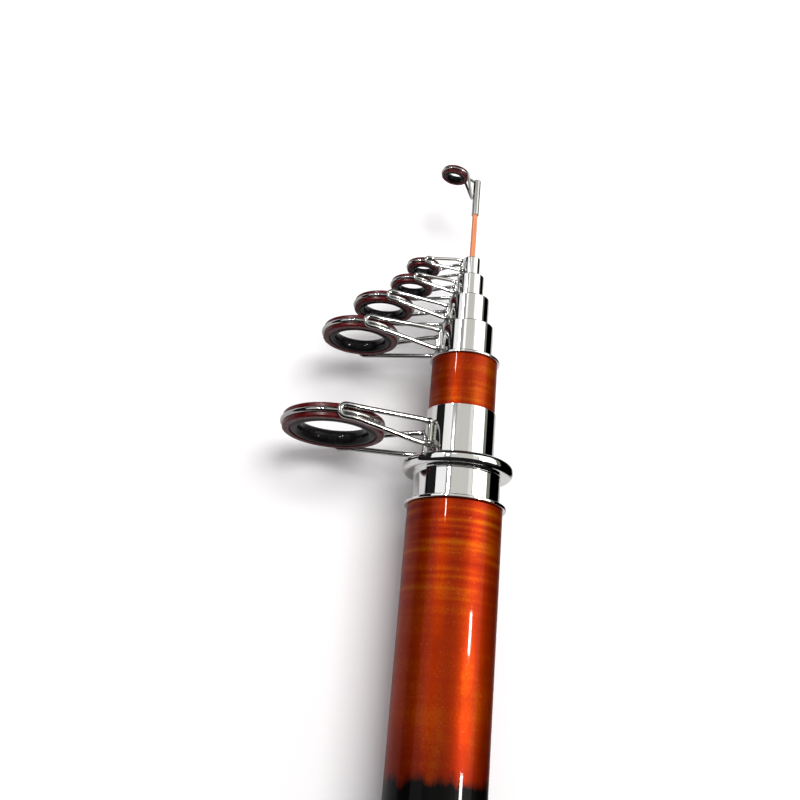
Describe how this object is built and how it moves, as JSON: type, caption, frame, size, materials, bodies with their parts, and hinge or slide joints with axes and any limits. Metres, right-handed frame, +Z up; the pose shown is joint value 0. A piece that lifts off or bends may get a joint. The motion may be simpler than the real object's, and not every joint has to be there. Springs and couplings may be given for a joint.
{
  "type": "fishing rod",
  "caption": "Collapsed telescopic fishing rod: nested orange tubes with chrome collars, wire-framed line guides, a screw reel seat and foam grips.",
  "frame": {"origin": "centre of the rubber pad's flat face on the butt end, on the rod's axis", "axes": "+Y along the rod from butt to tip, -X towards the line guides and the reel seat's flat, +Z up from the table it lies on"},
  "size_m": [0.0648, 0.6028, 0.0368],
  "materials": {
    "orange_fibre": "clear-coated orange glass fibre, deep red at the flanks",
    "tip_fibre": "pale orange solid glass fibre",
    "chrome_plate": "polished chrome plate",
    "chrome_wire": "polished plated steel wire",
    "red_shock_ring": "dark red moulded plastic",
    "black_ceramic": "polished black ceramic",
    "grip_foam": "fine closed-cell black foam",
    "seat_plastic": "satin black moulded plastic",
    "plug_plastic": "black moulded plastic",
    "pad_rubber": "black rubber",
    "thread_alloy": "turned aluminium"
  },
  "bodies": {
    "butt_body": {"butt_tube": "orange_fibre", "butt_collar": "chrome_plate", "thread_insert": "thread_alloy", "rear_grip": "grip_foam", "rear_trim": "chrome_plate", "reel_seat": "seat_plastic", "fixed_hood": "seat_plastic", "seat_trim": "chrome_plate", "fore_grip": "grip_foam", "fore_trim": "chrome_plate"},
    "section_2": {"section_2_tube": "orange_fibre", "section_2_end_ring": "chrome_plate", "guide_1_sleeve": "chrome_plate", "guide_1_frame": "chrome_wire", "guide_1_shock_ring": "red_shock_ring", "guide_1_ceramic": "black_ceramic"},
    "section_3": {"section_3_tube": "orange_fibre", "section_3_cup": "chrome_plate", "guide_2_frame": "chrome_wire", "guide_2_shock_ring": "red_shock_ring", "guide_2_ceramic": "black_ceramic"},
    "section_4": {"section_4_tube": "orange_fibre", "section_4_cup": "chrome_plate", "guide_3_frame": "chrome_wire", "guide_3_shock_ring": "red_shock_ring", "guide_3_ceramic": "black_ceramic"},
    "section_5": {"section_5_tube": "orange_fibre", "section_5_cup": "chrome_plate", "guide_4_frame": "chrome_wire", "guide_4_shock_ring": "red_shock_ring", "guide_4_ceramic": "black_ceramic"},
    "section_6": {"section_6_tube": "orange_fibre", "section_6_cup": "chrome_plate", "guide_5_frame": "chrome_wire", "guide_5_shock_ring": "red_shock_ring", "guide_5_ceramic": "black_ceramic"},
    "tip_section": {"tip_rod": "tip_fibre", "tip_top_frame": "chrome_wire", "tip_top_shock_ring": "red_shock_ring", "tip_top_ceramic": "black_ceramic"},
    "reel_hood": {"sliding_hood": "seat_plastic"},
    "reel_nut": {"lock_nut": "seat_plastic"},
    "plug_slide": {"plug_washer": "pad_rubber"},
    "plug": {"end_plug": "plug_plastic", "butt_pad": "pad_rubber", "plug_cushion": "pad_rubber"}
  },
  "joints": [
    {"name": "section_2_slide", "type": "slide", "parent": "butt_body", "child": "section_2", "axis": [0, 1, 0], "range_m": [0, 0.4048]},
    {"name": "section_3_slide", "type": "slide", "parent": "section_2", "child": "section_3", "axis": [0, 1, 0], "range_m": [0, 0.435]},
    {"name": "section_4_slide", "type": "slide", "parent": "section_3", "child": "section_4", "axis": [0, 1, 0], "range_m": [0, 0.4488]},
    {"name": "section_5_slide", "type": "slide", "parent": "section_4", "child": "section_5", "axis": [0, 1, 0], "range_m": [0, 0.4602]},
    {"name": "section_6_slide", "type": "slide", "parent": "section_5", "child": "section_6", "axis": [0, 1, 0], "range_m": [0, 0.4704]},
    {"name": "tip_slide", "type": "slide", "parent": "section_6", "child": "tip_section", "axis": [0, 1, 0], "range_m": [0, 0.4887]},
    {"name": "reel_hood_slide", "type": "slide", "parent": "butt_body", "child": "reel_hood", "axis": [0, 1, 0], "range_m": [-0.024, 0.0135]},
    {"name": "reel_nut_turn", "type": "hinge", "parent": "reel_hood", "child": "reel_nut", "pos_m": [0, 0.2546, 0], "axis": [0, 1, 0], "range_deg": [-2880, 1620]},
    {"name": "plug_thread_slide", "type": "slide", "parent": "butt_body", "child": "plug_slide", "axis": [0, -1, 0], "range_m": [0, 0.016]},
    {"name": "plug_turn", "type": "hinge", "parent": "plug_slide", "child": "plug", "pos_m": [0, 0.0091, 0], "axis": [0, -1, 0], "range_deg": [0, 2880]}
  ],
  "couplings": [
    {"joint": "reel_hood_slide", "follows": "reel_nut_turn", "m_per_rad": 0.00047746},
    {"joint": "plug_thread_slide", "follows": "plug_turn", "m_per_rad": 0.0003183}
  ]
}
